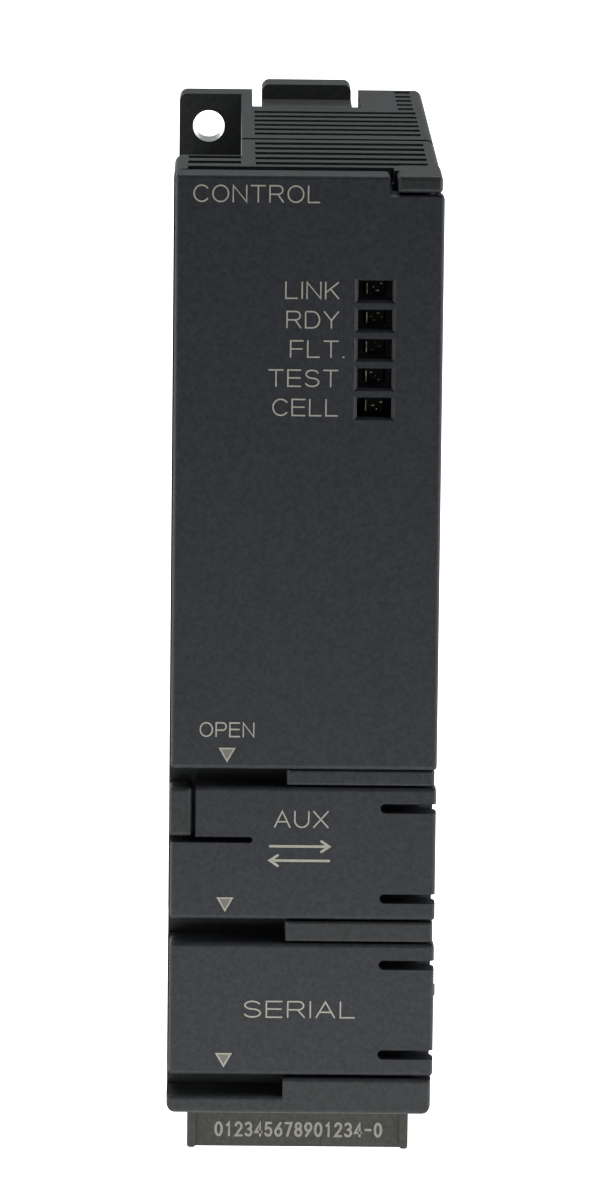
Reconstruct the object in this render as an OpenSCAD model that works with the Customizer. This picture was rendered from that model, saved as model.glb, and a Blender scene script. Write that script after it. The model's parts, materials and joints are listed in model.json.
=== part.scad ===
// Rack-mounted controller module: a two-part case with three hinged front covers, a sprung fixing
// hook, two communication ports, a mode switch, a battery and its circuit boards.
// +Z is up, +X is to the right seen from the front, and +Y points at the rack behind the module.
// The origin is the centre of the rear face, so the front lies at y = -case_d.

/* [Case] */
// Width of the case
case_w = 27.4; // [26.8:0.1:28]
// Height of the case
case_h = 98; // [97.6:0.1:99]
// Depth of the case, front cover to rear face
case_d = 89.3; // [89:0.1:95]
// Thickness of the case walls
wall = 1.6; // [1.4:0.1:1.8]
// Depth at which the front half meets the rear half
split_y = 34.75; // [34:0.05:35.5]
// Width of the groove between the halves
split_gap = 1.5; // [0.4:0.1:1.6]
// Radius of the long top edges
top_r = 0.9; // [0.4:0.05:1]
// Radius of the long bottom edges
bottom_r = 1.1; // [0.6:0.1:1.3]

/* [Covers] */
// Thickness of the cover plates
cover_t = 1.4; // [1.2:0.1:1.6]
// Depth of the port covers' side flanges; the front cover's end level with them
flange_d = 3.6; // [3.2:0.1:3.7]
// Radius of the covers' outer edges
edge_r = 0.45; // [0.3:0.05:0.6]
// How far the port covers sit back from the front cover
step_back = 0.8; // [0.6:0.1:1]
// Bottom edge of the front cover
front_cover_z0 = -12.45; // [-12.5:0.05:-12.4]
// Top edge of the front cover
front_cover_z1 = 48.95; // [48.8:0.05:49]
// Bottom edge of the data port cover
data_cover_z0 = -28.4; // [-28.5:0.05:-28.35]
// Top edge of the data port cover
data_cover_z1 = -14.45; // [-14.5:0.05:-14.4]
// Bottom edge of the serial port cover
serial_cover_z0 = -44.9; // [-45:0.05:-44.8]
// Top edge of the serial port cover
serial_cover_z1 = -30.9; // [-31:0.05:-30.85]
// Radius of the hinge pins
pin_r = 0.7; // [0.6:0.05:0.75]
// Radial clearance of the hinge pins
pin_gap = 0.06; // [0.04:0.01:0.1]

/* [Indicators] */
// Number of indicator windows
window_count = 5; // [3:1:5]
// Spacing of the windows
window_pitch = 3.01; // [2.9:0.01:3.1]
// Height of a window
window_h = 2.05; // [1.8:0.05:2.2]
// Width of a window
window_w = 3.5; // [3:0.1:3.8]

/* [Ventilation] */
// Spacing of the slots in the front half
front_slot_pitch = 4.86; // [4.6:0.02:5]
// Width of the slots in the front half
front_slot_w = 2.4; // [2:0.1:2.6]
// Spacing of the slots in the rear half
rear_slot_pitch = 4.62; // [4.5:0.02:4.7]
// Width of the slots in the rear half
rear_slot_w = 2.2; // [1.8:0.1:2.4]

/* [Fixings] */
// Radius of the hole for the fixing screw
screw_hole_r = 1.78; // [1.6:0.01:1.9]
// Thickness of the ear that the screw passes through
ear_t = 6; // [5:0.1:7]
// How far the hook stands out behind the rear face
hook_reach = 2.7; // [2:0.1:3]

/* [Hidden] */

$fn = 48;
cut = 0.05;                 // how far a cutter reaches past the face it opens
half_w = case_w / 2;
half_h = case_h / 2;
charcoal = [0.23, 0.24, 0.25];
dark = [0.12, 0.12, 0.13];

// Front of the case, behind the covers
deck_y = 4.7;               // depth of the deck's front face
deck_t = 1.6;
deck_x1 = 12.2;             // right edge of the deck, clear of the swinging covers
skin_y = 7.8;               // depth at which the full outline begins on the hinge side
strip_x0 = -1.55;           // left end of the strips between the covers
strip1_z = [-14.25, -12.6];
strip2_z = [-30.7, -28.6];
sill_z = -47.15;            // top of the sill's low left part
sill_step_x = -1.64;
sill_step_z = -45.2;        // top of the sill's right part
finger_x1 = sill_step_x;    // right end of the pockets that a fingertip reaches into
finger_y = 6.9;             // their depth
finger_wall = 1;

// Covers
cover_x0 = -13.5;
cover_x1 = 13.9;
knuckle_r = 1.7;            // radius of the rounded hinge side of each cover
hinge_x = cover_x1 - knuckle_r;
front_hinge_y = 1.9;
port_hinge_y = front_hinge_y + step_back;
pin_l = 0.55;
notch_x = 8.35;             // left edge of the front cover's notch
notch_z = 46.97;
block_x = 9.06;             // hinge block above the notch
block_z = 47.22;
block_r = 0.5;
post_x = [-13.63, -11.3];   // fixed post beside the data port cover
post_z = [-19.7, -14.59];
tongue_slit_z = [-20.37, -19.74];
tongue_slit_x = -5.0;
arm_slot_w = 1;
arm_slot_x = 8.15;
latch_x = [-11.5, -10.5];   // latch tab behind each cover, and its nub
latch_z = [-3, -25, -37.9];
data_arm_z = [-16.65, -26.15];
serial_arm_z = [-33.15, -42.65];

// Indicator windows, in the front cover and the deck
window_x = 6.95;
window_top_z = 37.2;
bevel_d = 0.35;
window_slope = [0.4, 0.28]; // width of the bevel at the sides, and above and below
notch_slope = [0.15, 0.15];
window_z = [for (i = [0:window_count - 1]) window_top_z - i * window_pitch];

// Ventilation slots
slot_x = [-5.35, 12.4];
left_slot_x = [-12.28, -6.84];
side_slot_x = [10.56, 12.27];
front_slot_y = 10.6;        // depth of the first slot of each row
left_slot_y = 11.3;
rear_slot_y = 40.15;
side_slot_y = 68;
bottom_slot_y = [15, 83];

// Screwdriver channel to the ear, and the hook's pocket
channel_x = -6.75;
channel_z = 38;
channel_y = 18.15;
ear_y = case_d - ear_t;
ear_hole = [-10.39, 45.35];
pocket_x = [-5.52, 6.49];
pocket_y = 69.6;
pocket_z = 44.4;
hook_x = [-4.43, 5.52];
hook_t = 1.8;
hook_axis = [70.75, half_h - hook_t / 2];

// Boards stand on edge, parallel to the sides
board_t = 1.6;
main_x = 8.3;               // left face of the main board
main_y = [9, 86.3];
main_z = [-46, 46];
side_x = -11.1;             // left face of the interface board
side_y = [22, 82];
side_z = [-26, 35];

// Ports and mode switch
data_port = [0.5, -21.4];
serial_port = [0.8, -37.9];
switch_at = [-5, 6];
lever_y = 8.2;              // depth of the lever's root; its pin lies 1.2 behind

// Battery and its cover
cell_r = 8.5;
cell_l = 33.5;
cell_at = [-1, -37.2];      // x and z of the cell's axis
cell_y0 = 42;
lid_x = [-9, 9];
lid_y = [40, 79];
lid_t = 1.4;
lid_axis = [lid_y[1] - 1.2, -half_h + 0.8];
lid_round = 0.75;

// Rear connector
bus_x = [-1.4, 8.1];
bus_y = [79, case_d + 3.5];
bus_z = [-30, 24];
label_z = [-24, 18];
label_y = [47, 79];
label_t = 0.15;

// Snap joints between the halves of the case
snap_z = [-30, 30];
snap_y = [30.4, 32.4];
snap_half = 2.4;            // half the height of a snap's nub
snap_gap = 0.2;

// Locating lug at the bottom rear
lug_x = [-6, 6];
lug_z = [-47.6, -45];
lug_reach = 2.6;
pip_h = 0.6;                // height of the pip on the right side

// Number tab
tab_half = 11.55;
tab_y = [6, 7.3];
tab_drop = 4.75;            // how far it hangs below the case
tab_key = 10.3;             // half the width of the part that goes into the case

// Holes and screws for the main board
screw_z = [36, -35];
screw_y = 78.3;

// ---- Helpers. Depths are measured from the front, so a part is drawn inside from_front(). ----

module from_front() {
    translate([0, -case_d, 0]) children();
}

// A box between two corners
module span(x, y, z) {
    translate([x[0], y[0], z[0]]) cube([x[1] - x[0], y[1] - y[0], z[1] - z[0]]);
}

// Extrusions of a flat outline along each axis
module along_x(x) {
    translate([x[0], 0, 0]) rotate([90, 0, 90]) linear_extrude(x[1] - x[0]) children();
}

module along_y(y) {
    translate([0, y[1], 0]) rotate([90, 0, 0]) linear_extrude(y[1] - y[0]) children();
}

module along_z(z) {
    translate([0, 0, z[0]]) linear_extrude(z[1] - z[0]) children();
}

// Round pins and bores along each axis
module rod_x(x, y, z, r) {
    translate([x[0], y, z]) rotate([0, 90, 0]) cylinder(h = x[1] - x[0], r = r);
}

module rod_y(x, y, z, r) {
    translate([x, y[1], z]) rotate([90, 0, 0]) cylinder(h = y[1] - y[0], r = r);
}

module rod_z(x, y, z, r) {
    translate([x, y, z[0]]) cylinder(h = z[1] - z[0], r = r);
}

// A rectangle whose upper and lower corners have their own radii
module rounded_rect(x, z, r_low, r_high) {
    translate([x[0], z[0] + r_low]) square([x[1] - x[0], z[1] - z[0] - r_low - r_high]);
    translate([x[0] + r_low, z[0]]) square([x[1] - x[0] - 2 * r_low, r_low + cut]);
    translate([x[0] + r_high, z[1] - r_high - cut]) square([x[1] - x[0] - 2 * r_high, r_high + cut]);
    for (s = [x[0] + r_low, x[1] - r_low]) translate([s, z[0] + r_low]) circle(r_low);
    for (s = [x[0] + r_high, x[1] - r_high]) translate([s, z[1] - r_high]) circle(r_high);
}

// A rectangle with only its two front corners rounded: u across, v in depth from v[0]
module front_rounded(u, v, r) {
    translate([u[0], v[0] + r]) square([u[1] - u[0], v[1] - v[0] - r]);
    translate([u[0] + r, v[0]]) square([u[1] - u[0] - 2 * r, r + cut]);
    for (s = [u[0] + r, u[1] - r]) translate([s, v[0] + r]) circle(r);
}

// A block whose front edges and corners are all rounded
module soft_block(x, y, z, r) {
    intersection() {
        along_y([y[0] - cut, y[1]]) rounded_rect(x, z, r, r);
        along_z(z) front_rounded(x, y, r);
        along_x(x) mirror([1, -1]) front_rounded(z, y, r);
    }
}

// A slot with round ends, cut through along Y
module round_slot(x, z, y) {
    r = (z[1] - z[0]) / 2;
    span([x[0] + r, x[1]], y, z);
    rod_y(x[0] + r, y, (z[0] + z[1]) / 2, r);
}

// Outline of the case seen from the front, shrunk by t
module case_outline(t) {
    x = [-half_w + t, half_w - t];
    z = [-half_h + t, half_h - t];
    rounded_rect(x, z, max(bottom_r - t, 0.3), max(top_r - t, 0.2));
}

// ---- Case ----

module top_slots_front() {
    z = [half_h - wall - 1, half_h + 1];
    span([left_slot_x[0], block_x - 0.25], [deck_y - 1, 7.4], [half_h - 2.6, half_h + 1]);
    for (i = [0:4]) {
        y = front_slot_y + i * front_slot_pitch;
        span(slot_x, [y - front_slot_w / 2, y + front_slot_w / 2], z);
    }
    for (i = [0:1]) {
        y = left_slot_y + i * front_slot_pitch;
        span(left_slot_x, [y - front_slot_w / 2, y + front_slot_w / 2], z);
    }
}

module top_slots_rear() {
    z = [half_h - wall - 1, half_h + 1];
    for (i = [0:5]) {
        y = rear_slot_y + i * rear_slot_pitch;
        span(slot_x, [y - rear_slot_w / 2, y + rear_slot_w / 2], z);
    }
    for (i = [0:4]) {
        y = side_slot_y + i * rear_slot_pitch;
        span(side_slot_x, [y - 1, y + 1], z);
    }
}

module bottom_slots(first, count, width, x) {
    for (i = [0:count - 1]) {
        y = first + i * front_slot_pitch;
        span(x, [y - width / 2, y + width / 2], [-half_h - 1, -half_h + wall + 1]);
    }
}

module channel() {
    span([-half_w - 1, channel_x], [channel_y, ear_y], [channel_z, half_h + 1]);
}

// Wall around the screwdriver channel, between two depths
module channel_wall(y) {
    t = 1.35;
    span([-half_w + 0.2, channel_x + t], y, [channel_z - t, half_h - wall + 0.4]);
}

// Ribs that hold the two boards at top and bottom
module board_guides(y) {
    for (x = [main_x - 1.3, main_x + board_t + 0.15]) {
        span([x, x + 1.15], y, [-half_h + wall - 0.2, -half_h + wall + 2.2]);
    }
}

module strip(z) {
    intersection() {
        soft_block([strip_x0, half_w], [step_back, deck_y + 1], z, 0.25);
        along_z(z) front_rounded([strip_x0, half_w], [step_back, deck_y + 1], edge_r);
    }
    span([deck_x1 - 1, half_w], [deck_y, skin_y + 1], z);
}

module sill() {
    // The sill below the covers is low on the left, for a finger, and high on the right
    y = [step_back, skin_y + 1];
    intersection() {
        union() {
            along_x([-half_w, half_w]) mirror([1, -1]) front_rounded([-half_h, sill_z], y, edge_r);
            along_x([sill_step_x, half_w]) mirror([1, -1]) front_rounded([-half_h, sill_step_z], y, edge_r);
        }
        along_y(y) case_outline(0);
        along_z([-half_h, 0]) front_rounded([-half_w, half_w], y, edge_r);
    }
}

module deck_openings() {
    y = [deck_y - 1, deck_y + deck_t + 1];
    for (z = window_z) {
        span([window_x - 1.15, window_x + 1.15], y, [z - 0.9, z + 0.9]);
    }
    span([switch_at[0] - 1.4, switch_at[0] + 1.4], y, [switch_at[1] - 3.6, switch_at[1] + 3.6]);
    span([data_port[0] - 4.3, data_port[0] + 4.3], y, [data_port[1] - 2.4, data_port[1] + 2.4]);
    rod_y(serial_port[0], y, serial_port[1], 5.9);
    for (z = latch_z) {
        span([latch_x[0] - 0.8, latch_x[1] + 0.6], y, [z - 1.4, z + 1.4]);
    }
}

// Heights of the finger pockets: above the sill, and above the serial port cover
function finger_pockets() = [[sill_z, serial_cover_z0 + 0.3], [serial_cover_z1 - 0.2, data_cover_z0 + 0.3]];

// The pockets' walls behind the deck, and the space to cut out of them. They are open at the left.
module finger_walls() {
    for (z = finger_pockets()) {
        span([-half_w, finger_x1 + finger_wall], [deck_y + 0.1, finger_y + finger_wall],
             [z[0] - finger_wall, z[1] + finger_wall]);
    }
}

module finger_cuts() {
    for (z = finger_pockets()) span([-half_w - 1, finger_x1], [step_back, finger_y], z);
}

module hinge_holes() {
    r = pin_r + pin_gap;
    d = pin_l + 0.12;
    rod_z(hinge_x, front_hinge_y, [block_z - cut, block_z + d], r);
    rod_z(hinge_x, front_hinge_y, [strip1_z[1] - d, strip1_z[1] + cut], r);
    rod_z(hinge_x, port_hinge_y, [strip1_z[0] - cut, strip1_z[0] + d], r);
    rod_z(hinge_x, port_hinge_y, [strip2_z[1] - d, strip2_z[1] + cut], r);
    rod_z(hinge_x, port_hinge_y, [strip2_z[0] - cut, strip2_z[0] + d], r);
    rod_z(hinge_x, port_hinge_y, [sill_step_z - d, sill_step_z + cut], r);
}

module front_shell() {
    rear = split_y - split_gap / 2;
    difference() {
        union() {
            along_y([skin_y, rear]) case_outline(0);
            along_y([deck_y, skin_y + cut]) intersection() {
                case_outline(0);
                translate([-half_w, -half_h]) square([half_w + deck_x1, case_h]);
            }
        }
        along_y([deck_y + deck_t, rear + 1]) intersection() {
            case_outline(wall);
            translate([-half_w, -half_h]) square([half_w + deck_x1 - 1.1, case_h]);
        }
        along_y([skin_y + wall, rear + 1]) case_outline(wall);
        top_slots_front();
        bottom_slots(bottom_slot_y[0], 4, front_slot_w, slot_x);
    }
}

module front_case() {
    color(charcoal) from_front() {
        difference() {
            union() {
                front_shell();
                strip(strip1_z);
                strip(strip2_z);
                sill();
                soft_block(post_x, [step_back, deck_y + 1], post_z, edge_r);
                soft_block([block_x, half_w], [0, skin_y + 2], [block_z, half_h], block_r);
                span([notch_x + 0.3, half_w - 0.2], [deck_y, skin_y + 1], [block_z - 2.5, block_z + 0.4]);
                channel_wall([channel_y - 1.35, split_y - split_gap / 2]);
                board_guides([skin_y + 3, split_y - 3]);
                side_pip();
                finger_walls();
            }
            finger_cuts();
            channel();
            hinge_holes();
            deck_openings();
            tab_pocket();
            snap_windows();
        }
    }
}

// Windows in both sides that the rear half's snaps click into
module snap_windows() {
    half = snap_half + snap_gap;
    for (z = snap_z, side = [-1, 1]) {
        x = side * (half_w - wall / 2);
        span([x - wall, x + wall], [snap_y[0] - snap_gap, snap_y[1] + snap_gap], [z - half, z + half]);
    }
}

// Small raised pip on the right side
module side_pip() {
    rod_x([half_w - 0.5, half_w], skin_y + 3, serial_port[1], 1);
    translate([half_w, skin_y + 3, serial_port[1]]) rotate([0, 90, 0])
        cylinder(h = pip_h, r1 = 1, r2 = 0.6);
}

// Pocket in the underside that takes the number tab
module tab_pocket() {
    span([-tab_key - 0.1, tab_key + 0.1], [tab_y[0] - 0.15, tab_y[1] + 0.15], [-half_h - 1, -half_h + 1.2]);
}

module rear_case() {
    front = split_y + split_gap / 2;
    color(charcoal) from_front() {
        difference() {
            union() {
                difference() {
                    union() {
                        along_y([front, case_d]) case_outline(0);
                        // lip that reaches into the front half
                        along_y([front - 2.4, front + 1]) case_outline(wall + 0.12);
                    }
                    along_y([front - 3, case_d - 1.8]) case_outline(wall + 0.9);
                    along_y([front + 1, case_d - 1.8]) case_outline(wall);
                    top_slots_rear();
                    bottom_slots(bottom_slot_y[1], 1, rear_slot_w, [-11, 5]);
                }
                channel_wall([front, case_d - 1]);
                span([pocket_x[0] - 1.2, pocket_x[1] + 1.2], [pocket_y - 1.2, case_d - 1],
                     [pocket_z - 1.2, half_h - wall + 0.4]);
                board_guides([front + 2, lid_y[0] - 2]);
                lid_frame();
                locating_lug();
                screw_posts();
                snap_tongues(front);
            }
            channel();
            span([-half_w - 1, channel_x + 1.4], [front - 5, front], [channel_z - 1.5, half_h + 1]);
            rod_y(ear_hole[0], [ear_y - 1, case_d + 1], ear_hole[1], screw_hole_r);
            span(pocket_x, [pocket_y, case_d + 1], [pocket_z, half_h + 1]);
            span([lid_x[0] - 0.2, lid_x[1] + 0.2], [lid_y[0] - 0.2, lid_y[1] + 0.2],
                 [-half_h - 1, -half_h + wall + 0.2]);
            rod_x([lid_x[0] - 0.9, lid_x[1] + 0.9], lid_axis[0], lid_axis[1], 0.5 + pin_gap);
            span([bus_x[0] - 0.15, bus_x[1] + 0.15], [case_d - 3, case_d + 1],
                 [bus_z[0] - 0.15, bus_z[1] + 0.15]);
            span([half_w - 0.2, half_w + 1], label_y, label_z);
            for (z = screw_z) rod_x([main_x - 6, main_x + 1], screw_y, z, 0.9);
        }
    }
}

// Tongues inside both sides, each with a nub that fills a window of the front half
module snap_tongues(front) {
    for (z = snap_z, side = [0, 1]) mirror([side, 0, 0]) {
        span([half_w - wall - 0.9, half_w - wall - 0.12], [snap_y[0] - 0.6, front + 1], [z - 3.2, z + 3.2]);
        span([half_w - wall - 0.3, half_w - 0.35], snap_y, [z - snap_half, z + snap_half]);
    }
}

// Posts, webbed to the rear wall, that the board screws bite into
module screw_posts() {
    for (z = screw_z) {
        rod_x([main_x - 5, main_x - 0.05], screw_y, z, 2.2);
        span([main_x - 5, main_x - 3.5], [screw_y, case_d - 1], [z - 1, z + 1]);
    }
}

// Rim around the battery opening
module lid_frame() {
    t = 1.2;
    z = [-half_h + 0.6, -half_h + 2.7];
    difference() {
        span([lid_x[0] - 0.2 - t, lid_x[1] + 0.2 + t], [lid_y[0] - 0.2 - t, lid_y[1] + 0.2 + t], z);
        span([lid_x[0] - 0.2, lid_x[1] + 0.2], [lid_y[0] - 0.2, lid_y[1] + 0.2], [z[0] - 1, z[1] + 1]);
    }
}

// Lug at the bottom rear that enters the rack first
module locating_lug() {
    along_x(lug_x) polygon([[case_d - 1, lug_z[0]], [case_d + lug_reach, lug_z[0]],
                            [case_d + lug_reach, lug_z[1] - 1], [case_d + lug_reach - 1, lug_z[1]],
                            [case_d - 1, lug_z[1]]]);
}

module number_tab() {
    top = -half_h - 0.1;
    flange = 0.9;
    color([0.28, 0.28, 0.26]) from_front() {
        along_y(tab_y) rounded_rect([-tab_half, tab_half], [-half_h - tab_drop, top], 0.5, 0.1);
        for (x = [[-tab_half, flange - tab_half], [tab_half - flange, tab_half]]) {
            along_y([tab_y[0] - 0.3, tab_y[1] + 1.1])
                rounded_rect(x, [-half_h - tab_drop - 0.1, top], 0.3, 0.1);
        }
        span([-tab_key, tab_key], [tab_y[0] - 0.05, tab_y[1] + 0.05], [-half_h - 0.5, -half_h + 1.1]);
    }
}

module rating_label() {
    color([0.75, 0.76, 0.76]) from_front() {
        span([half_w - 0.2, half_w - 0.2 + label_t], [label_y[0] + 0.2, label_y[1] - 0.2],
             [label_z[0] + 0.2, label_z[1] - 0.2]);
    }
}

// ---- Covers ----

// Solid for a cover with a rounded hinge side, its front face at depth y0
module cover_plate(y0, z) {
    rear = step_back + flange_d;
    intersection() {
        along_z(z) {
            front_rounded([cover_x0, cover_x1], [y0, y0 + front_hinge_y], edge_r);
            translate([cover_x0, y0 + 1]) square([hinge_x - cover_x0, rear - y0 - 1]);
            translate([hinge_x, y0 + front_hinge_y]) circle(knuckle_r);
        }
        along_y([y0 - cut, rear]) rounded_rect([cover_x0, cover_x1], z, edge_r, edge_r);
        along_x([cover_x0, cover_x1]) mirror([1, -1]) front_rounded(z, [y0, rear], edge_r);
    }
}

module cover_hollow(y0, z) {
    span([cover_x0 + 1.3, hinge_x - 1.6], [y0 + cover_t, y0 + flange_d + 1], z);
}

// Latch tab that slips into its slot in the deck
module latch_tab(y0, z) {
    span(latch_x, [y0 + cover_t - 0.2, deck_y + 1.2], [z - 1, z + 1]);
    span([latch_x[0] - 0.2, latch_x[1]], [deck_y + 0.5, deck_y + 1.2], [z - 1, z + 1]);
}

// Pins at both ends of a port cover
module port_hinge_pins(z) {
    reach = pin_l + 0.2;
    rod_z(hinge_x, port_hinge_y, [z[0] - reach, z[0] + 1], pin_r);
    rod_z(hinge_x, port_hinge_y, [z[1] - 1, z[1] + reach], pin_r);
}

// Trapezium that tapers from the front face into the plate
module taper(u, slope) {
    polygon([[u[0] - slope, -cut], [u[1] + slope, -cut], [u[1], bevel_d], [u[0], bevel_d]]);
}

// Opening in the front face, cut to depth y1, with a bevel around it
module bevelled_cut(x, y1, z, slope) {
    span(x, [-1, y1], z);
    intersection() {
        along_z([z[0] - 1, z[1] + 1]) taper(x, slope[0]);
        along_x([x[0] - 1, x[1] + 1]) mirror([1, -1]) taper(z, slope[1]);
    }
}

module window_cut(z) {
    bevelled_cut([window_x - window_w / 2, window_x + window_w / 2], cover_t + 1,
                 [z - window_h / 2, z + window_h / 2], window_slope);
}

// Front outline of the front cover, with a notch at its upper hinge corner
module notched_outline(z) {
    rounded_rect([cover_x0, cover_x1], [z[0], notch_z], edge_r, edge_r);
    rounded_rect([cover_x0, notch_x], z, edge_r, edge_r);
}

module front_cover() {
    z = [front_cover_z0, front_cover_z1];
    color(charcoal) from_front() {
        difference() {
            intersection() {
                cover_plate(0, z);
                along_y([-cut, deck_y]) notched_outline(z);
            }
            cover_hollow(0, [z[0] + 1.3, notch_z - 1.3]);
            span([cover_x0 + 1.3, notch_x - 1.3], [cover_t, flange_d + 1], [notch_z - 2, z[1] - 1.3]);
            bevelled_cut([notch_x, cover_x1 + 1], flange_d + 1, [notch_z, z[1] + 1], notch_slope);
            for (wz = window_z) window_cut(wz);
        }
        rod_z(hinge_x, front_hinge_y, [notch_z - 1, block_z + pin_l], pin_r);
        rod_z(hinge_x, front_hinge_y, [z[0] - 0.15 - pin_l, z[0] + 1], pin_r);
        latch_tab(0, latch_z[0]);
    }
}

module port_cover(z, arm_z, tab_z) {
    difference() {
        cover_plate(step_back, z);
        cover_hollow(step_back, [z[0] + 1.2, z[1] - 1.2]);
        for (az = arm_z) {
            round_slot([arm_slot_x, half_w + 1], [az - arm_slot_w / 2, az + arm_slot_w / 2],
                       [0, deck_y]);
        }
    }
    latch_tab(step_back, tab_z);
}

module data_port_cover() {
    z = [data_cover_z0, data_cover_z1];
    y = [0, deck_y];
    color(charcoal) from_front() {
        difference() {
            port_cover(z, data_arm_z, latch_z[1]);
            span([cover_x0 - 1, post_x[1] + 0.4], y, [tongue_slit_z[1] - 0.3, z[1] + 1]);
            span([cover_x0 - 1, tongue_slit_x - 0.3], y, tongue_slit_z);
            rod_y(tongue_slit_x - 0.31, y, (tongue_slit_z[0] + tongue_slit_z[1]) / 2, 0.31);
        }
        port_hinge_pins(z);
    }
}

module serial_port_cover() {
    z = [serial_cover_z0, serial_cover_z1];
    color(charcoal) from_front() {
        port_cover(z, serial_arm_z, latch_z[2]);
        port_hinge_pins(z);
    }
}

module battery_cover() {
    z0 = -half_h;
    color(charcoal) from_front() {
        difference() {
            union() {
                span(lid_x, [lid_y[0], lid_axis[0]], [z0, z0 + lid_t]);
                rod_x(lid_x, lid_axis[0], lid_axis[1], lid_round);
                span([lid_x[0] + 1, lid_x[0] + 2], [lid_y[0] + 1, lid_y[0] + 30], [z0, z0 + 2.6]);
                span([lid_x[1] - 2, lid_x[1] - 1], [lid_y[0] + 1, lid_y[0] + 30], [z0, z0 + 2.6]);
            }
            // nail notch at the free edge
            span([-3, 3], [lid_y[0] - 1, lid_y[0] + 1], [z0 - 1, z0 + 0.8]);
        }
        rod_x([lid_x[0] - 0.7, lid_x[1] + 0.7], lid_axis[0], lid_axis[1], 0.5);
    }
}

// ---- Fixing hook ----

module fixing_hook() {
    top = half_h;
    tip = case_d + hook_reach;
    ridge = [78.3, 84.8];
    color(charcoal) from_front() {
        along_x(hook_x) {
            translate(hook_axis) circle(hook_t / 2);
            translate([hook_axis[0], top - hook_t]) square([86 - hook_axis[0], hook_t]);
            polygon([[85.5, top - hook_t], [tip, top - hook_t], [tip, top - 1.1], [tip - 0.6, top + 0.4],
                     [tip - 1.6, top + 0.4], [tip - 1.6, top - 0.5], [85.5, top - 0.5]]);
        }
        along_y(ridge) rounded_rect(hook_x, [top - 0.5, top + 1.6], 0.2, 0.8);
    }
}

// ---- Indicators ----

module light_guide() {
    color([0.75, 0.78, 0.74]) from_front() {
        for (z = window_z) {
            span([window_x - 0.95, window_x + 0.95], [2, deck_y + deck_t + 0.6], [z - 0.75, z + 0.75]);
        }
        low = window_z[window_count - 1];
        span([window_x - 1.2, window_x + 1.2], [deck_y + deck_t + 0.1, deck_y + deck_t + 1.1],
             [low - 1.4, window_top_z + 1.4]);
    }
}

module indicator_lamps() {
    color([0.8, 0.82, 0.6]) from_front() {
        for (z = window_z) {
            span([window_x - 0.8, main_x], [main_y[0], main_y[0] + 1.4], [z - 0.7, z + 0.7]);
        }
    }
}

// ---- Boards ----

module main_board() {
    color([0.1, 0.32, 0.2]) from_front() {
        difference() {
            span([main_x, main_x + board_t], main_y, main_z);
            for (z = screw_z) rod_x([main_x - 1, main_x + 3], screw_y, z, 1.2);
        }
    }
}

module interface_board() {
    color([0.1, 0.32, 0.2]) from_front() {
        span([side_x, side_x + board_t], side_y, side_z);
    }
}

module board_connector() {
    color([0.85, 0.82, 0.72]) from_front() {
        difference() {
            span([side_x + board_t, main_x], [26, 31], [-18, 14]);
            span([-2, 2], [25, 27], [-16, 12]);
        }
    }
}

module chip(x, y, z, size, t) {
    span([x - t, x], [y - size[0] / 2, y + size[0] / 2], [z - size[1] / 2, z + size[1] / 2]);
}

module processor_chip() {
    color(dark) from_front() chip(main_x, 52, 6, [24, 24], 2.2);
}

module memory_chips() {
    color(dark) from_front() {
        for (z = [26, 36]) chip(main_x, 42, z, [14, 8], 1.2);
        for (z = [-14, -23]) chip(main_x, 58, z, [12, 6], 1.2);
    }
}

module interface_chips() {
    color(dark) from_front() {
        for (z = [-16, -4, 8, 20]) {
            span([side_x + board_t, side_x + board_t + 1.5], [50, 62], [z - 3, z + 3]);
        }
    }
}

module quartz_crystal() {
    color("silver") from_front() {
        chip(main_x, 68, 22, [11, 4.6], 3.4);
    }
}

module capacitors() {
    color([0.2, 0.22, 0.3]) from_front() {
        for (z = [-20, -11, -2]) {
            rod_x([main_x - 6, main_x], 34, z - 4, 3);
        }
        for (z = [12, 22]) {
            rod_x([side_x + board_t, side_x + board_t + 5.4], 40, z + 2, 2.5);
        }
    }
}

module power_coil() {
    color([0.3, 0.3, 0.3]) from_front() {
        difference() {
            rod_x([main_x - 5, main_x], 70, 6, 5);
            rod_x([main_x - 6, main_x - 3.5], 70, 6, 2);
        }
    }
}

// ---- Rear connector ----

module backplane_connector() {
    color([0.15, 0.15, 0.16]) from_front() {
        difference() {
            span(bus_x, bus_y, bus_z);
            span([bus_x[0] + 1.3, bus_x[1] - 1.3], [case_d - 3, case_d + 5],
                 [bus_z[0] + 1.5, bus_z[1] - 1.5]);
        }
    }
}

module backplane_contacts() {
    color("gold") from_front() {
        for (x = [bus_x[0] + 3, bus_x[1] - 3]) {
            for (i = [0:19]) {
                z = bus_z[0] + 4 + i * 2.42;
                span([x - 0.3, x + 0.3], [case_d - 3, case_d + 2.4], [z - 0.3, z + 0.3]);
            }
        }
    }
}

// ---- Ports ----

module data_shell_outline(t) {
    // mouth of the data socket: wide at the top, stepped in below
    u = 3.85 - t;
    translate([data_port[0], data_port[1]]) {
        translate([-u, -0.2]) square([2 * u, 2.15 - t]);
        translate([-u + 0.7, -1.95 + t]) square([2 * u - 1.4, 3]);
    }
}

module data_socket_shell() {
    color("silver") from_front() {
        difference() {
            along_y([5.1, 14]) data_shell_outline(0);
            along_y([4, 13.6]) data_shell_outline(0.3);
        }
        for (y = [7, 12]) {
            span([data_port[0] + 3.6, main_x], [y, y + 1], [data_port[1] - 0.2, data_port[1] + 0.2]);
        }
    }
}

module data_socket_insert() {
    color(dark) from_front() {
        along_y([12, 13.6]) data_shell_outline(0.32);
        span([data_port[0] - 2.1, data_port[0] + 2.1], [6.2, 12.2],
             [data_port[1] - 0.35, data_port[1] + 0.35]);
    }
}

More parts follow.
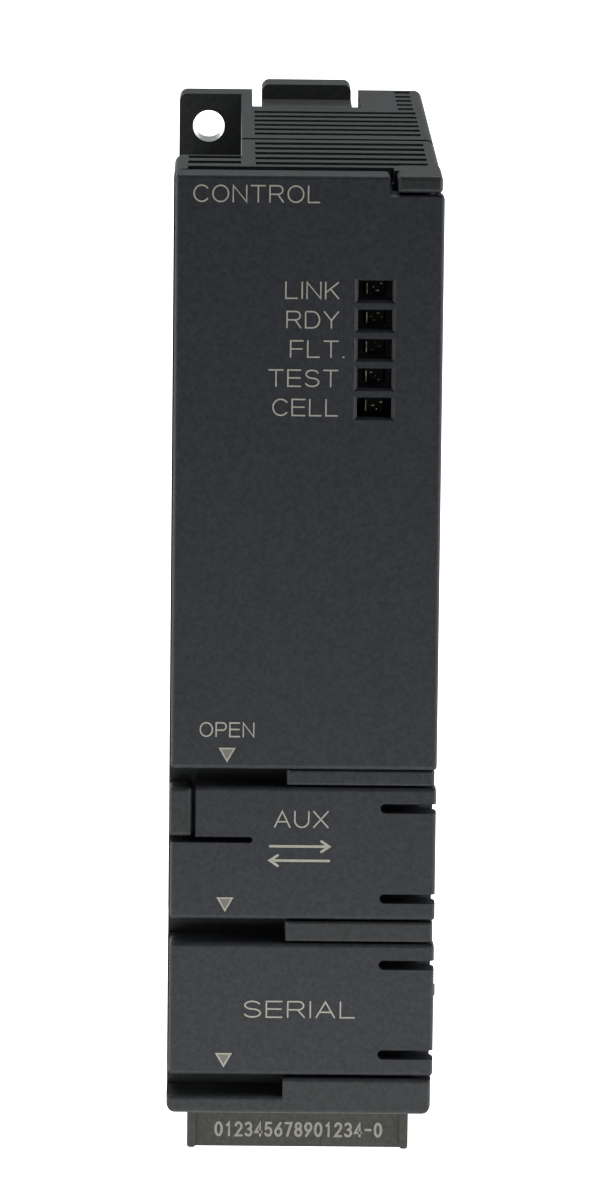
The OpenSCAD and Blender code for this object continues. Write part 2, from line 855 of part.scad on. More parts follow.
module serial_socket_housing() {
    x = serial_port[0];
    z = serial_port[1];
    color(dark) from_front() {
        difference() {
            union() {
                rod_y(x, [5, 8], z, 5.7);
                span([x - 7, main_x], [8, 19], [z - 7, z + 7]);
            }
            rod_y(x, [4, 17], z, 4.9);
        }
    }
}

module serial_socket_shell() {
    x = serial_port[0];
    z = serial_port[1];
    color("silver") from_front() {
        difference() {
            rod_y(x, [5.2, 16.9], z, 4.8);
            rod_y(x, [4, 16.3], z, 4.5);
        }
    }
}

module serial_socket_insert() {
    x = serial_port[0];
    z = serial_port[1];
    color(dark) from_front() {
        difference() {
            rod_y(x, [6, 16.2], z, 3.9);
            for (a = [0:5]) {
                rod_y(x + 2.5 * cos(30 + 60 * a), [5, 12], z + 2.5 * sin(30 + 60 * a), 0.35);
            }
            span([x - 1, x + 1], [5, 12], [z - 1, z + 0.6]);
        }
    }
}

// ---- Mode switch ----

module mode_switch_body() {
    x = switch_at[0];
    z = switch_at[1];
    color([0.1, 0.2, 0.45]) from_front() {
        difference() {
            span([x - 3, x + 3], [6.5, 13.5], [z - 6, z + 6]);
            span([x - 1.2, x + 1.2], [6, 12], [z - 4, z + 4]);
            rod_x([x - 2.2, x + 2.2], lever_y + 1.2, z, 0.6 + pin_gap);
        }
        span([x + 3, main_x], [8.5, 12.5], [z - 3.5, z + 3.5]);
    }
}

module mode_lever() {
    x = switch_at[0];
    z = switch_at[1];
    color("white") from_front() {
        rod_x([x - 2, x + 2], lever_y + 1.2, z, 0.6);
        rod_x([x - 1, x + 1], lever_y + 1.2, z, 1.4);
        span([x - 1, x + 1], [2.9, lever_y + 1.2], [z - 0.8, z + 0.8]);
        rod_x([x - 1, x + 1], 2.9, z, 0.8);
    }
}

// ---- Battery ----

module battery_cell() {
    color([0.75, 0.75, 0.78]) from_front() {
        rod_y(cell_at[0], [cell_y0, cell_y0 + cell_l], cell_at[1], cell_r);
        rod_y(cell_at[0], [cell_y0 + cell_l, cell_y0 + cell_l + 1], cell_at[1], 2.5);
    }
}

module battery_clamp() {
    x = cell_at[0];
    z = cell_at[1];
    color(dark) from_front() {
        for (y = [46, 66]) difference() {
            span([x - 10, main_x], [y, y + 4], [z - 3, z + 10.4]);
            rod_y(x, [y - 1, y + 5], z, cell_r + 0.05);
        }
    }
}

// Two insulated wires from the cell's front end to the plug
module battery_lead() {
    for (s = [0, 1]) {
        x = -2.6 + 2 * s;
        color(s == 0 ? "firebrick" : "navy") from_front() {
            rod_y(x, [37, cell_y0], -31, 0.6);
            translate([x, 37, -34]) mirror([0, 1, 0]) rotate([0, -90, 0])
                rotate_extrude(angle = 90) translate([3, 0]) circle(0.6);
        }
    }
}

module battery_plug() {
    color("white") from_front() span([-4.4, 1.2], [32, 36], [-37.5, -34]);
}

module battery_header() {
    color([0.85, 0.82, 0.72]) from_front() {
        span([1.2, main_x], [31.5, 36.5], [-38, -33.5]);
    }
}

module board_screws() {
    color("silver") from_front() {
        for (z = screw_z) {
            rod_x([main_x - 4.5, main_x + board_t + 0.1], screw_y, z, 0.88);
            rod_x([main_x + board_t, main_x + board_t + 1.2], screw_y, z, 2);
        }
    }
}

front_case();
rear_case();
number_tab();
rating_label();
front_cover();
data_port_cover();
serial_port_cover();
battery_cover();
fixing_hook();
light_guide();
indicator_lamps();
main_board();
interface_board();
board_connector();
processor_chip();
memory_chips();
interface_chips();
quartz_crystal();
capacitors();
power_coil();
backplane_connector();
backplane_contacts();
data_socket_shell();
data_socket_insert();
serial_socket_housing();
serial_socket_shell();
serial_socket_insert();
mode_switch_body();
mode_lever();
battery_cell();
battery_clamp();
battery_lead();
battery_plug();
battery_header();
board_screws();
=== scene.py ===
# Looks for the rack controller module: moulded plastics, printed marks, lamp details and a studio.
# Lengths below are in millimetres unless a name says otherwise; MM turns them into the frame's metres.
import json
import math

import bmesh
import bpy
from mathutils import Matrix, Vector


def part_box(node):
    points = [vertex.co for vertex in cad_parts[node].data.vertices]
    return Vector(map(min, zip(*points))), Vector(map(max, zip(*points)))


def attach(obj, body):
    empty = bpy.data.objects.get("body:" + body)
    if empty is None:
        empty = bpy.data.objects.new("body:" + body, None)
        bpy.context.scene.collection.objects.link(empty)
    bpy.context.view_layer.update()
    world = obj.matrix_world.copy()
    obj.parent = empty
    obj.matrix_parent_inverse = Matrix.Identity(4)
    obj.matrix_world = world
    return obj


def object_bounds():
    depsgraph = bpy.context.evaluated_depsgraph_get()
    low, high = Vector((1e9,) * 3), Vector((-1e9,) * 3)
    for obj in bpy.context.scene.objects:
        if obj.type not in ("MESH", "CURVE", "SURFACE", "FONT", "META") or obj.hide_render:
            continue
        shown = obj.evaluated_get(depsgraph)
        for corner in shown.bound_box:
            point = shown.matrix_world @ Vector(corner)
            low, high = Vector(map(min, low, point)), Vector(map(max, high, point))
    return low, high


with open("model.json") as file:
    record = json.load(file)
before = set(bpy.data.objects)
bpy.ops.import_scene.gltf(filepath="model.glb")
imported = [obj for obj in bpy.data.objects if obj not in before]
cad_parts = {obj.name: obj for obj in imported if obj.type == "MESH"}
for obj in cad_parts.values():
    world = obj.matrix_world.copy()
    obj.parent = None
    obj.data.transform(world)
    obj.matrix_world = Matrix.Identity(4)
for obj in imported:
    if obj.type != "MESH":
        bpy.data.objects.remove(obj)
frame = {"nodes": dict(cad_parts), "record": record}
cad_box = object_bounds()

MM = 0.001

# Ink
STROKE = 0.15            # width of a printed stroke
INK_RAISE = 0.03         # how far the ink stands above the plastic
INK_SINK = 0.01          # how far its back lies below the surface
INK_LEVELS = 4           # strokes take this many heights in turn, so that none that cross coincide
INK_STEP = 0.004         # from one of these heights to the next

# Letters; their height is measured between the middles of their strokes
CAP_HEIGHT = 1.66
LETTER_GAP = 0.3         # space between letters, as a share of their height
OVAL = 0.6               # width of a figure, as a share of its height

# Marks that point down
ARROW = (1.5, 1.3)       # width and height
ARROW_RIM = 0.16         # width of the rim's stroke

# Marks on the front cover, measured from its left, upper and lower edges
TITLE_INSET = 1.9
TITLE_DROP = 1.1
TITLE_WIDTH = 12.75
LABEL_TO_WINDOW = 3.75   # from the end of a label to the middle of its window
FRONT_PIN = 0.7          # how far the lower hinge pin reaches below the cover
OPENER_INSET = 3         # the word above the arrow
OPENER_RISE = 3.4
OPENER_HEIGHT = 1.42
OPENER_WIDTH = 5.5
FRONT_ARROW = (5.78, 2.15)   # its middle and its top, from the left and lower edges

# Marks on the port covers
PORT_WORDS = {           # the word, its width, and how far it is above the cover's middle
    "data_port_cover": ("AUX", 5.5, 3.6),
    "serial_port_cover": ("SERIAL", 11.4, 0),
}
PORT_ARROW_INSET = 5.7   # from a cover's left edge to its arrow's middle
PORT_ARROW_DROP = 4.75   # from a cover's middle to its arrow's top
ICON_X = -0.15           # middle of the data port's two arrows
ICON_REACH = 3.05        # half the length of each
ICON_SPREAD = 0.75       # from the middle to each
ICON_BARB = (0.8, 0.55)  # length, and half the width, of their heads
ICON_STROKE = 0.26

# Figures on the number tab
DIGITS = "012345678901234-0"
DIGITS_PLACE = (3, 1.25)     # from the tab's left and lower edges
DIGITS_WIDTH = 17.3
DIGIT_HEIGHT = 1.36
DIGIT_GAP = 0.38             # as a share of their height
DIGIT_STROKE = 0.25
TAB_RIM = 0.3                # how far the tab's rim stands out from its plate

# Rules on the rating label
LABEL_MARGIN = 1.2       # from the label's edge to the border
BAND_ACROSS = (1.5, 13)  # a filled band, from the border's left
BAND_DROP = (6, 3)       # its lower and upper edges, from the border's top
TABLE_DROP = 9           # from the border's top to the table
TABLE_ROWS = 5
ROW_HEIGHT = 3.6
FIRST_COLUMN = 11
CODE_PANEL = (2, 8)      # near and far sides of a square, from the border's lower right corner

# Lamps behind the windows, from the top
LAMP_WORDS = ("LINK", "RDY", "FLT.", "TEST", "CELL")
GUIDE_RIM = 1.4          # the light guide's plate reaches this far past the outer lamps
GLINT_SINK = 0.01        # how far a glint's base lies inside the guide
EDGE_SHIFT = 0.83        # from the middle of a window to the bright edge of its guide
EDGE_GLINT = (0.05, 0.6, 0.12)   # half its width, half its height, and how far it stands out
FLECKS = 5               # bright facets on each guide
FLECK_START = (-0.5, -0.55)      # lower left corner of their field, from the window's middle
FLECK_SPREAD = (1.3, 1.1)        # width and height of the field
FLECK_SIZE = (0.035, 0.05)       # half the width of the smallest, and how much more the largest has
GOLDEN = 0.618           # steps of this share of the field's width spread the facets evenly
STEPS_UP = 7             # and this many of them give the step in height


# ---- Materials -------------------------------------------------------------------------------------


class Paint:
    """A material under construction: its shader, and short ways to add texture nodes to it."""

    def __init__(self, name, roughness=0.5, metallic=0.0, specular=0.5):
        self.material = bpy.data.materials.new(name)
        self.material.use_nodes = True
        self.tree = self.material.node_tree
        self.shader = self.tree.nodes["Principled BSDF"]
        self.shader.inputs["Roughness"].default_value = roughness
        self.shader.inputs["Metallic"].default_value = metallic
        self.shader.inputs["Specular IOR Level"].default_value = specular
        self.place = self.tree.nodes.new("ShaderNodeTexCoord").outputs["Object"]

    def link(self, source, target):
        self.tree.links.new(source, target)

    def stretched(self, x, y, z):
        """Object coordinates scaled along each axis, for grain that runs one way."""
        node = self.tree.nodes.new("ShaderNodeMapping")
        node.inputs["Scale"].default_value = (x, y, z)
        self.link(self.place, node.inputs["Vector"])
        return node.outputs["Vector"]

    def noise(self, size, detail=2.0, place=None):
        """Smooth noise whose features are about size millimetres across."""
        node = self.tree.nodes.new("ShaderNodeTexNoise")
        node.inputs["Scale"].default_value = 1 / (size * MM)
        node.inputs["Detail"].default_value = detail
        self.link(place or self.place, node.inputs["Vector"])
        return node.outputs["Fac"]

    def cells(self, size):
        """Distance to the nearest of scattered points, about size millimetres apart."""
        node = self.tree.nodes.new("ShaderNodeTexVoronoi")
        node.inputs["Scale"].default_value = 1 / (size * MM)
        self.link(self.place, node.inputs["Vector"])
        return node.outputs["Distance"]

    def ramp(self, factor, low, high, start=0.0, end=1.0):
        """Turns a factor into a colour between low and high."""
        node = self.tree.nodes.new("ShaderNodeValToRGB")
        first, last = node.color_ramp.elements
        first.position, last.position = start, end
        first.color, last.color = (*low, 1), (*high, 1)
        self.link(factor, node.inputs["Fac"])
        return node.outputs["Color"]

    def values(self, factor, low, high, start=0.3, end=0.7):
        """Turns a factor into a number between low and high."""
        node = self.tree.nodes.new("ShaderNodeMapRange")
        node.inputs["From Min"].default_value = start
        node.inputs["From Max"].default_value = end
        node.inputs["To Min"].default_value = low
        node.inputs["To Max"].default_value = high
        self.link(factor, node.inputs["Value"])
        return node.outputs["Result"]

    def over(self, base, top, factor):
        """Lays one colour over another where factor is 1."""
        node = self.tree.nodes.new("ShaderNodeMix")
        node.data_type = "RGBA"
        self.link(factor, node.inputs["Factor"])
        self.link(base, node.inputs["A"])
        self.link(top, node.inputs["B"])
        return node.outputs["Result"]

    def blended(self, first, second, share):
        """Mixes two colours evenly over the whole surface."""
        node = self.tree.nodes.new("ShaderNodeMix")
        node.data_type = "RGBA"
        node.inputs["Factor"].default_value = share
        self.link(first, node.inputs["A"])
        self.link(second, node.inputs["B"])
        return node.outputs["Result"]

    def band(self, axis, middle, half):
        """1 where the object's X, Y or Z lies within half of the middle, in millimetres."""
        split = self.tree.nodes.new("ShaderNodeSeparateXYZ")
        self.link(self.place, split.inputs["Vector"])
        node = self.tree.nodes.new("ShaderNodeMath")
        node.operation = "COMPARE"
        self.link(split.outputs[axis], node.inputs[0])
        node.inputs[1].default_value = middle * MM
        node.inputs[2].default_value = half * MM
        return node.outputs["Value"]

    def bore(self, centre, radius):
        """1 inside a bore that runs front to back: its centre is (across, up), in millimetres."""
        away = self.tree.nodes.new("ShaderNodeVectorMath")
        away.operation = "DISTANCE"
        self.link(self.stretched(1, 0, 1), away.inputs[0])
        away.inputs[1].default_value = (centre[0] * MM, 0, centre[1] * MM)
        node = self.tree.nodes.new("ShaderNodeMath")
        node.operation = "LESS_THAN"
        self.link(away.outputs["Value"], node.inputs[0])
        node.inputs[1].default_value = radius * MM
        return node.outputs["Value"]

    def lowered(self, value, floor, factor):
        """Changes a number to floor where factor is 1."""
        node = self.tree.nodes.new("ShaderNodeMix")
        self.link(factor, node.inputs["Factor"])
        self.link(value, node.inputs["A"])
        node.inputs["B"].default_value = floor
        return node.outputs["Result"]

    def bump(self, height, depth, strength=0.5):
        """Raises the surface by height, which is worth depth millimetres."""
        node = self.tree.nodes.new("ShaderNodeBump")
        node.inputs["Distance"].default_value = depth * MM
        node.inputs["Strength"].default_value = strength
        self.link(height, node.inputs["Height"])
        self.link(node.outputs["Normal"], self.shader.inputs["Normal"])

    def colour(self, source):
        self.link(source, self.shader.inputs["Base Color"])

    def rough(self, source):
        self.link(source, self.shader.inputs["Roughness"])


def tinted(colour, share):
    """A colour made darker or lighter by a share."""
    return tuple(channel * share for channel in colour)


def moulded(name, colour, roughness, grain=0.2, depth=0.02, groove=None, bore=None):
    """Spark-eroded moulding: an even fine grain, faint clouding, and a few specks of dust.

    A groove (its middle and half its width, along Y) gets painted shade: it is painted dark
    inside. A bore (its centre and its radius) is polished.
    """
    paint = Paint(name, specular=0.32)
    clouds = paint.noise(9, 3)
    base = paint.ramp(clouds, tinted(colour, 0.92), tinted(colour, 1.08), 0.35, 0.65)
    mottle = paint.ramp(paint.noise(0.45, 3), tinted(colour, 0.6), tinted(colour, 1.45), 0.3, 0.7)
    base = paint.blended(base, mottle, 0.75)
    dust = paint.ramp(paint.cells(1.7), (1, 1, 1), (0, 0, 0), 0.025, 0.05)
    speck = paint.ramp(paint.noise(3), tinted(colour, 1.8), tinted(colour, 3.2))
    base = paint.over(base, speck, dust)
    texture = paint.noise(grain, 2)
    rough = paint.values(texture, roughness - 0.07, roughness + 0.08)
    if groove:
        # painted shade: the inside of the groove is coloured near black
        painted_groove_shade = paint.ramp(clouds, tinted(colour, 0.05), tinted(colour, 0.12))
        base = paint.over(base, painted_groove_shade, paint.band("Y", *groove))
    if bore:
        rough = paint.lowered(rough, POLISHED, paint.bore(*bore))
    paint.colour(base)
    paint.rough(rough)
    paint.bump(texture, depth)
    return paint.material


def printed_ink(name, colour):
    """Pad-printed ink: slightly uneven cover over the moulding's grain."""
    paint = Paint(name, roughness=0.62)
    paint.colour(paint.ramp(paint.noise(0.35, 3), tinted(colour, 0.86), tinted(colour, 1.08), 0.3, 0.7))
    paint.bump(paint.noise(0.12), 0.006)
    return paint.material


def silver_film(name):
    """Satin label film with a faint brushed grain."""
    paint = Paint(name, roughness=0.38, metallic=0.6)
    brushed = paint.noise(0.25, 2, paint.stretched(1, 0.03, 1))
    paint.colour(paint.ramp(brushed, (0.27, 0.275, 0.28), (0.34, 0.345, 0.35), 0.3, 0.7))
    paint.rough(paint.values(brushed, 0.33, 0.45))
    paint.bump(brushed, 0.003)
    return paint.material


def shaded_guide(name):
    """Unlit light guide painted nearly black and greenish, as painted shade; satin at its moulded end."""
    paint = Paint(name, roughness=0.4, specular=0.08)
    depths = paint.noise(0.3, 2)
    # painted shade: the clear guide is coloured nearly black
    paint.colour(paint.ramp(depths, (0.0006, 0.0008, 0.0002), (0.004, 0.005, 0.0012), 0.35, 0.7))
    paint.rough(paint.values(depths, 0.3, 0.5))
    paint.bump(depths, 0.02)
    return paint.material


def painted_glint(name):
    """Painted glint for the cut edge of clear plastic: bright colour and a faint glow, though it is no
    lamp.
    """
    paint = Paint(name, roughness=0.3)
    uneven = paint.ramp(paint.noise(0.5), (0.10, 0.10, 0.07), (0.5, 0.5, 0.4), 0.35, 0.65)
    paint.colour(uneven)
    # painted highlight: the colour also glows, though the plastic is no lamp
    paint.link(uneven, paint.shader.inputs["Emission Color"])
    paint.shader.inputs["Emission Strength"].default_value = GLINT_GLOW
    paint.bump(paint.noise(0.1), 0.01)
    return paint.material


def cast_resin(name):
    """Milky lamp resin."""
    paint = Paint(name, roughness=0.25)
    paint.shader.inputs["Subsurface Weight"].default_value = 0.2
    paint.shader.inputs["Subsurface Scale"].default_value = 0.4 * MM
    paint.colour(paint.ramp(paint.noise(0.4), (0.5, 0.52, 0.33), (0.66, 0.68, 0.46)))
    return paint.material


def solder_resist(name):
    """Green solder resist with the raised copper tracks under it."""
    paint = Paint(name, roughness=0.28)
    tracks = paint.noise(1.1, 0, paint.stretched(1, 0.12, 1))
    lines = paint.ramp(tracks, (0.008, 0.075, 0.035), (0.02, 0.16, 0.07), 0.48, 0.5)
    paint.colour(lines)
    paint.bump(tracks, 0.03, 0.3)
    paint.rough(paint.values(paint.noise(0.4), 0.24, 0.36))
    return paint.material


def plain_moulding(name, low, high, roughness, size=0.3):
    """Small inner mouldings: a fine grain and a slight change of shade."""
    paint = Paint(name)
    grain = paint.noise(size, 2)
    paint.colour(paint.ramp(grain, low, high, 0.3, 0.7))
    paint.rough(paint.values(grain, roughness - 0.06, roughness + 0.06))
    paint.bump(grain, 0.01, 0.4)
    return paint.material


def plated(name, low, high, roughness):
    """Plated sheet metal with fine drawing lines."""
    paint = Paint(name, metallic=1.0)
    drawn = paint.noise(0.2, 2, paint.stretched(1, 0.05, 1))
    paint.colour(paint.ramp(drawn, low, high, 0.3, 0.7))
    paint.rough(paint.values(drawn, roughness - 0.06, roughness + 0.08))
    paint.bump(drawn, 0.002)
    return paint.material


def screw_hole():
    """Centre (across, up) of the screw hole in the ear, and a radius that takes in its wall."""
    hole = next(mount for mount in frame["record"]["mounts"] if mount["name"] == "fixing_screw_hole")
    place = hole["pos_m"]
    return (place[0] / MM, place[2] / MM), hole["dims"]["r_mm"] + BORE_MARGIN


def joint_groove():
    """Middle and half width, along Y, of the groove where the case halves meet, which gets painted shade.
    """
    front_half_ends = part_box("front_case")[1].y / MM
    return front_half_ends + GROOVE / 2, GROOVE / 2 + GROOVE_MARGIN


POLISHED = 0.12           # roughness of a bore's wall
GROOVE = 1.5              # width of the groove between the halves of the case
GROOVE_MARGIN = 0.02      # the painted shade reaches this far past each side of the groove
BORE_MARGIN = 0.05        # the polish reaches this far into the wall of the bore
GLINT_GLOW = 0.22          # how brightly the painted glints on clear plastic glow; they are no lamp
CASE_COLOUR = (0.0168, 0.0182, 0.0195)
COVER_COLOUR = (0.0155, 0.0175, 0.0215)
TAB_COLOUR = (0.034, 0.034, 0.029)
INK_COLOUR = (0.33, 0.32, 0.27)

PLAIN_LOOKS = {           # darkest and lightest colour, roughness, and the size of the grain if not usual
    "cream_plastic": ((0.6, 0.54, 0.42), (0.72, 0.66, 0.53), 0.45),
    "chip_epoxy": ((0.015, 0.015, 0.017), (0.03, 0.03, 0.032), 0.6, 0.1),
    "capacitor_sleeve": ((0.02, 0.03, 0.07), (0.04, 0.05, 0.1), 0.3),
    "ferrite": ((0.05, 0.05, 0.05), (0.09, 0.09, 0.09), 0.7, 0.15),
    "connector_plastic": ((0.014, 0.014, 0.016), (0.03, 0.03, 0.032), 0.48),
    "switch_plastic": ((0.015, 0.04, 0.16), (0.025, 0.06, 0.22), 0.4),
    "lever_plastic": ((0.68, 0.68, 0.65), (0.78, 0.78, 0.75), 0.35),
    "cell_sleeve": ((0.5, 0.51, 0.53), (0.6, 0.61, 0.63), 0.3),
    "wire_insulation": ((0.28, 0.02, 0.02), (0.4, 0.035, 0.03), 0.45),
}
PLATED_LOOKS = {          # darkest and lightest colour, and roughness
    "plated_metal": ((0.55, 0.55, 0.53), (0.68, 0.68, 0.66), 0.3),
    "contact_metal": ((0.72, 0.5, 0.18), (0.86, 0.64, 0.28), 0.22),
}

materials = {
    "case_plastic": moulded("case_plastic", CASE_COLOUR, 0.5, groove=joint_groove(), bore=screw_hole()),
    "cover_plastic": moulded("cover_plastic", COVER_COLOUR, 0.52),
    "tab_plastic": moulded("tab_plastic", TAB_COLOUR, 0.55),
    "label_film": silver_film("label_film"),
    "clear_plastic": shaded_guide("clear_plastic"),
    "lamp_resin": cast_resin("lamp_resin"),
    "board_laminate": solder_resist("board_laminate"),
    **{name: plain_moulding(name, *look) for name, look in PLAIN_LOOKS.items()},
    **{name: plated(name, *look) for name, look in PLATED_LOOKS.items()},
}
ink = printed_ink("printed_ink", INK_COLOUR)
faded_ink = printed_ink("faded_ink", tinted(INK_COLOUR, 0.75))
shaded_ink = printed_ink("shaded_ink", tinted(INK_COLOUR, 0.45))
glint_paint = painted_glint("painted_glint")


def dress_frame():
    """Gives every CAD node the procedural material of its slot in the record."""
    for node in frame["nodes"].values():
        for slot in node.material_slots:
            slot.material = materials[slot.material.name.split(".")[0]]


# ---- Lettering -------------------------------------------------------------------------------------
# A glyph is (width, strokes) with its height as 1. A stroke is a list of points (across, up).


def turn(centre, radius, start, end, steps):
    """Points along part of an ellipse, from start to end degrees."""
    angles = [math.radians(start + (end - start) * i / steps) for i in range(steps + 1)]
    return [(centre[0] + radius[0] * math.cos(a), centre[1] + radius[1] * math.sin(a)) for a in angles]


def bowl(width, low, high):
    """The rounded right side of a D, P or R, drawn from its stem at the top and back at the bottom."""
    r = (high - low) / 2
    reach = min(r, width / 2)
    return [(0, high), *turn((width - reach, high - r), (reach, r), 90, -90, 12), (0, low)]


def s_curve(width):
    """The double bend of an S."""
    w = width / 2
    top = turn((w, 0.755), (w * 0.92, 0.245), 20, 270, 12)
    return top + turn((w, 0.255), (w, 0.255), 90, -160, 12)[1:]


GLYPHS = {
    "A": (0.92, [[(0, 0), (0.46, 1), (0.92, 0)], [(0.16, 0.34), (0.76, 0.34)]]),
    "C": (0.88, [turn((0.48, 0.5), (0.48, 0.5), 40, 320, 20)]),
    "D": (0.85, [bowl(0.85, 0, 1) + [(0, 1)]]),
    "E": (0.78, [[(0.78, 1), (0, 1), (0, 0), (0.78, 0)], [(0, 0.52), (0.74, 0.52)]]),
    "F": (0.75, [[(0.75, 1), (0, 1), (0, 0)], [(0, 0.5), (0.7, 0.5)]]),
    "I": (0.0, [[(0, 0), (0, 1)]]),
    "K": (0.8, [[(0, 0), (0, 1)], [(0.78, 1), (0, 0.36)], [(0.3, 0.6), (0.8, 0)]]),
    "L": (0.7, [[(0, 1), (0, 0), (0.7, 0)]]),
    "N": (0.84, [[(0, 0), (0, 1), (0.84, 0), (0.84, 1)]]),
    "O": (0.98, [turn((0.49, 0.5), (0.49, 0.5), 0, 345, 23) + ["closed"]]),
    "P": (0.8, [bowl(0.8, 0.46, 1), [(0, 1), (0, 0)]]),
    "R": (0.84, [bowl(0.8, 0.48, 1), [(0, 1), (0, 0)], [(0.5, 0.48), (0.84, 0)]]),
    "S": (0.82, [s_curve(0.82)]),
    "T": (0.86, [[(0, 1), (0.86, 1)], [(0.43, 1), (0.43, 0)]]),
    "U": (0.84, [[(0, 1), *turn((0.42, 0.42), (0.42, 0.42), 180, 360, 12), (0.84, 1)]]),
    "X": (0.86, [[(0, 0), (0.86, 1)], [(0, 1), (0.86, 0)]]),
    "Y": (0.86, [[(0, 1), (0.43, 0.46), (0.86, 1)], [(0.43, 0.46), (0.43, 0)]]),
    ".": (0.06, [[(0, 0.01), (0.06, 0.01)]]),
    "-": (OVAL, [[(0.05, 0.5), (0.55, 0.5)]]),
    "0": (OVAL, [turn((0.3, 0.5), (0.3, 0.5), 0, 345, 23) + ["closed"]]),
    "1": (OVAL, [[(0.14, 0.8), (0.34, 1), (0.34, 0)]]),
    "2": (OVAL, [turn((0.3, 0.72), (0.28, 0.28), 165, -25, 12) + [(0.02, 0), (0.6, 0)]]),
    "3": (OVAL, [turn((0.28, 0.75), (0.27, 0.25), 150, -90, 12),
                 turn((0.28, 0.26), (0.3, 0.26), 90, -150, 12)]),
    "4": (OVAL, [[(0.46, 0), (0.46, 1), (0, 0.28), (0.6, 0.28)]]),
    "5": (OVAL, [[(0.54, 1), (0.1, 1), (0.05, 0.55), *turn((0.28, 0.31), (0.3, 0.31), 110, -150, 12)]]),
    "6": (OVAL, [[(0.5, 1), (0.08, 0.48)], turn((0.3, 0.3), (0.29, 0.3), 0, 345, 23) + ["closed"]]),
    "7": (OVAL, [[(0.02, 1), (0.58, 1), (0.2, 0)]]),
    "8": (OVAL, [turn((0.3, 0.76), (0.24, 0.24), 0, 345, 23) + ["closed"],
                 turn((0.3, 0.26), (0.29, 0.26), 0, 345, 23) + ["closed"]]),
    "9": (OVAL, [[(0.1, 0), (0.52, 0.52)], turn((0.3, 0.7), (0.29, 0.3), 0, 345, 23) + ["closed"]]),
}


def text_width(text, height, gap):
    """Width of a line of text, without the ends of its strokes."""
    return height * (sum(GLYPHS[letter][0] for letter in text) + gap * (len(text) - 1))


def written(text, left, bottom, height, width=None, gap=LETTER_GAP):
    """Strokes of a line of text. A given width stretches the letters to fit it."""
    stretch = width / text_width(text, height, gap) if width else 1
    strokes = []
    x = left
    for letter in text:
        glyph_width, glyph = GLYPHS[letter]
        for stroke in glyph:
            points = [p if p == "closed" else (x + p[0] * height * stretch, bottom + p[1] * height)
                      for p in stroke]
            strokes.append(points)
        x += (glyph_width + gap) * height * stretch
    return strokes


# ---- Printed pieces --------------------------------------------------------------------------------


def side_offsets(points, half, closed):
    """For each point, the vector across the stroke to its edge, mitred where the stroke turns."""
    count = len(points)
    offsets = []
    for i in range(count):
        before = points[i - 1] if closed or i > 0 else points[i]
        after = points[(i + 1) % count] if closed or i < count - 1 else points[i]
        here = points[i]
        ways = [(b - a).normalized() for a, b in ((before, here), (here, after)) if (b - a).length > 0]
        normals = [Vector((-way.y, way.x)) for way in ways]
        across = sum(normals, Vector((0, 0))).normalized()
        offsets.append(across * half / max(across.dot(normals[0]), 0.5))
    return offsets


def lay_stroke(mesh, stroke, half, level):
    """Adds one stroke to a flat mesh, at a level, as a strip of quads with rounded ends."""
    closed = stroke[-1] == "closed"
    points = [Vector(p) for p in stroke if p != "closed"]
    offsets = side_offsets(points, half, closed)
    rows = [(mesh.verts.new((*(p + o), level)), mesh.verts.new((*(p - o), level)))
            for p, o in zip(points, offsets)]
    pairs = list(zip(rows, rows[1:] + rows[:1])) if closed else list(zip(rows, rows[1:]))
    for (left_a, right_a), (left_b, right_b) in pairs:
        mesh.faces.new((left_a, right_a, right_b, left_b))
    if not closed:
        for row, here, beside in ((rows[0], points[0], points[1]), (rows[-1], points[-1], points[-2])):
            outward = (here - beside).normalized() * half
            across = Vector((-outward.y, outward.x))
            tips = [here + outward * math.sin(a) + across * math.cos(a)
                    for a in (math.radians(45), math.radians(90), math.radians(135))]
            ends = row if (row[0].co.xy - here).dot(across) > 0 else row[::-1]
            mesh.faces.new((ends[0], *(mesh.verts.new((*tip, level)) for tip in tips), ends[1]))


def lay_patch(mesh, outline):
    """Adds one filled outline to a flat mesh."""
    mesh.faces.new([mesh.verts.new((*point, 0)) for point in outline])


def printed(name, body, material, face, strokes=(), patches=(), stroke=STROKE, side=False):
    """A layer of ink on a face, given in millimetres (across, up).

    The face is the front at y = face, or with side the right side at x = face, in metres.
    """
    mesh = bmesh.new()
    for i, line in enumerate(strokes):
        lay_stroke(mesh, line, stroke / 2, INK_STEP * (i % INK_LEVELS))
    for outline in patches:
        lay_patch(mesh, outline)
    bmesh.ops.recalc_face_normals(mesh, faces=mesh.faces)
    skin = bmesh.ops.extrude_face_region(mesh, geom=mesh.faces[:])
    raised = [item for item in skin["geom"] if isinstance(item, bmesh.types.BMVert)]
    bmesh.ops.translate(mesh, verts=raised, vec=(0, 0, INK_RAISE + INK_SINK))
    bmesh.ops.recalc_face_normals(mesh, faces=mesh.faces)
    # turn the sheet upright, facing outwards, with its back just under the surface
    upright = Matrix.Rotation(math.pi / 2, 4, "X")
    if side:
        to_right = Matrix.Rotation(math.pi / 2, 4, "Z")
        upright = Matrix.Translation((face - INK_SINK * MM, 0, 0)) @ to_right @ upright
    else:
        upright = Matrix.Translation((0, face + INK_SINK * MM, 0)) @ upright
    mesh.transform(upright @ Matrix.Diagonal((MM, MM, MM, 1)))
    add_piece(name, mesh, body, material)


def add_piece(name, mesh, body, material):
    """Turns a finished bmesh into an object that rides on a body."""
    data = bpy.data.meshes.new(name)
    mesh.to_mesh(data)
    mesh.free()
    data.materials.append(material)
    piece = bpy.data.objects.new(name, data)
    bpy.context.scene.collection.objects.link(piece)
    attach(piece, body)


def in_mm(node):
    """A CAD node's box corners in millimetres."""
    low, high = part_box(node)
    return low / MM, high / MM


def print_arrow(name, body, x, top, face):
    """A small triangle that points down, with a paler rim, where a cover is pulled open."""
    width, height = ARROW
    head = [(x - width / 2, top), (x + width / 2, top), (x, top - height)]
    printed(f"{name}_fill", body, shaded_ink, face, patches=[head])
    printed(f"{name}_rim", body, ink, face - INK_RAISE * MM, strokes=[head + ["closed"]],
            stroke=ARROW_RIM)


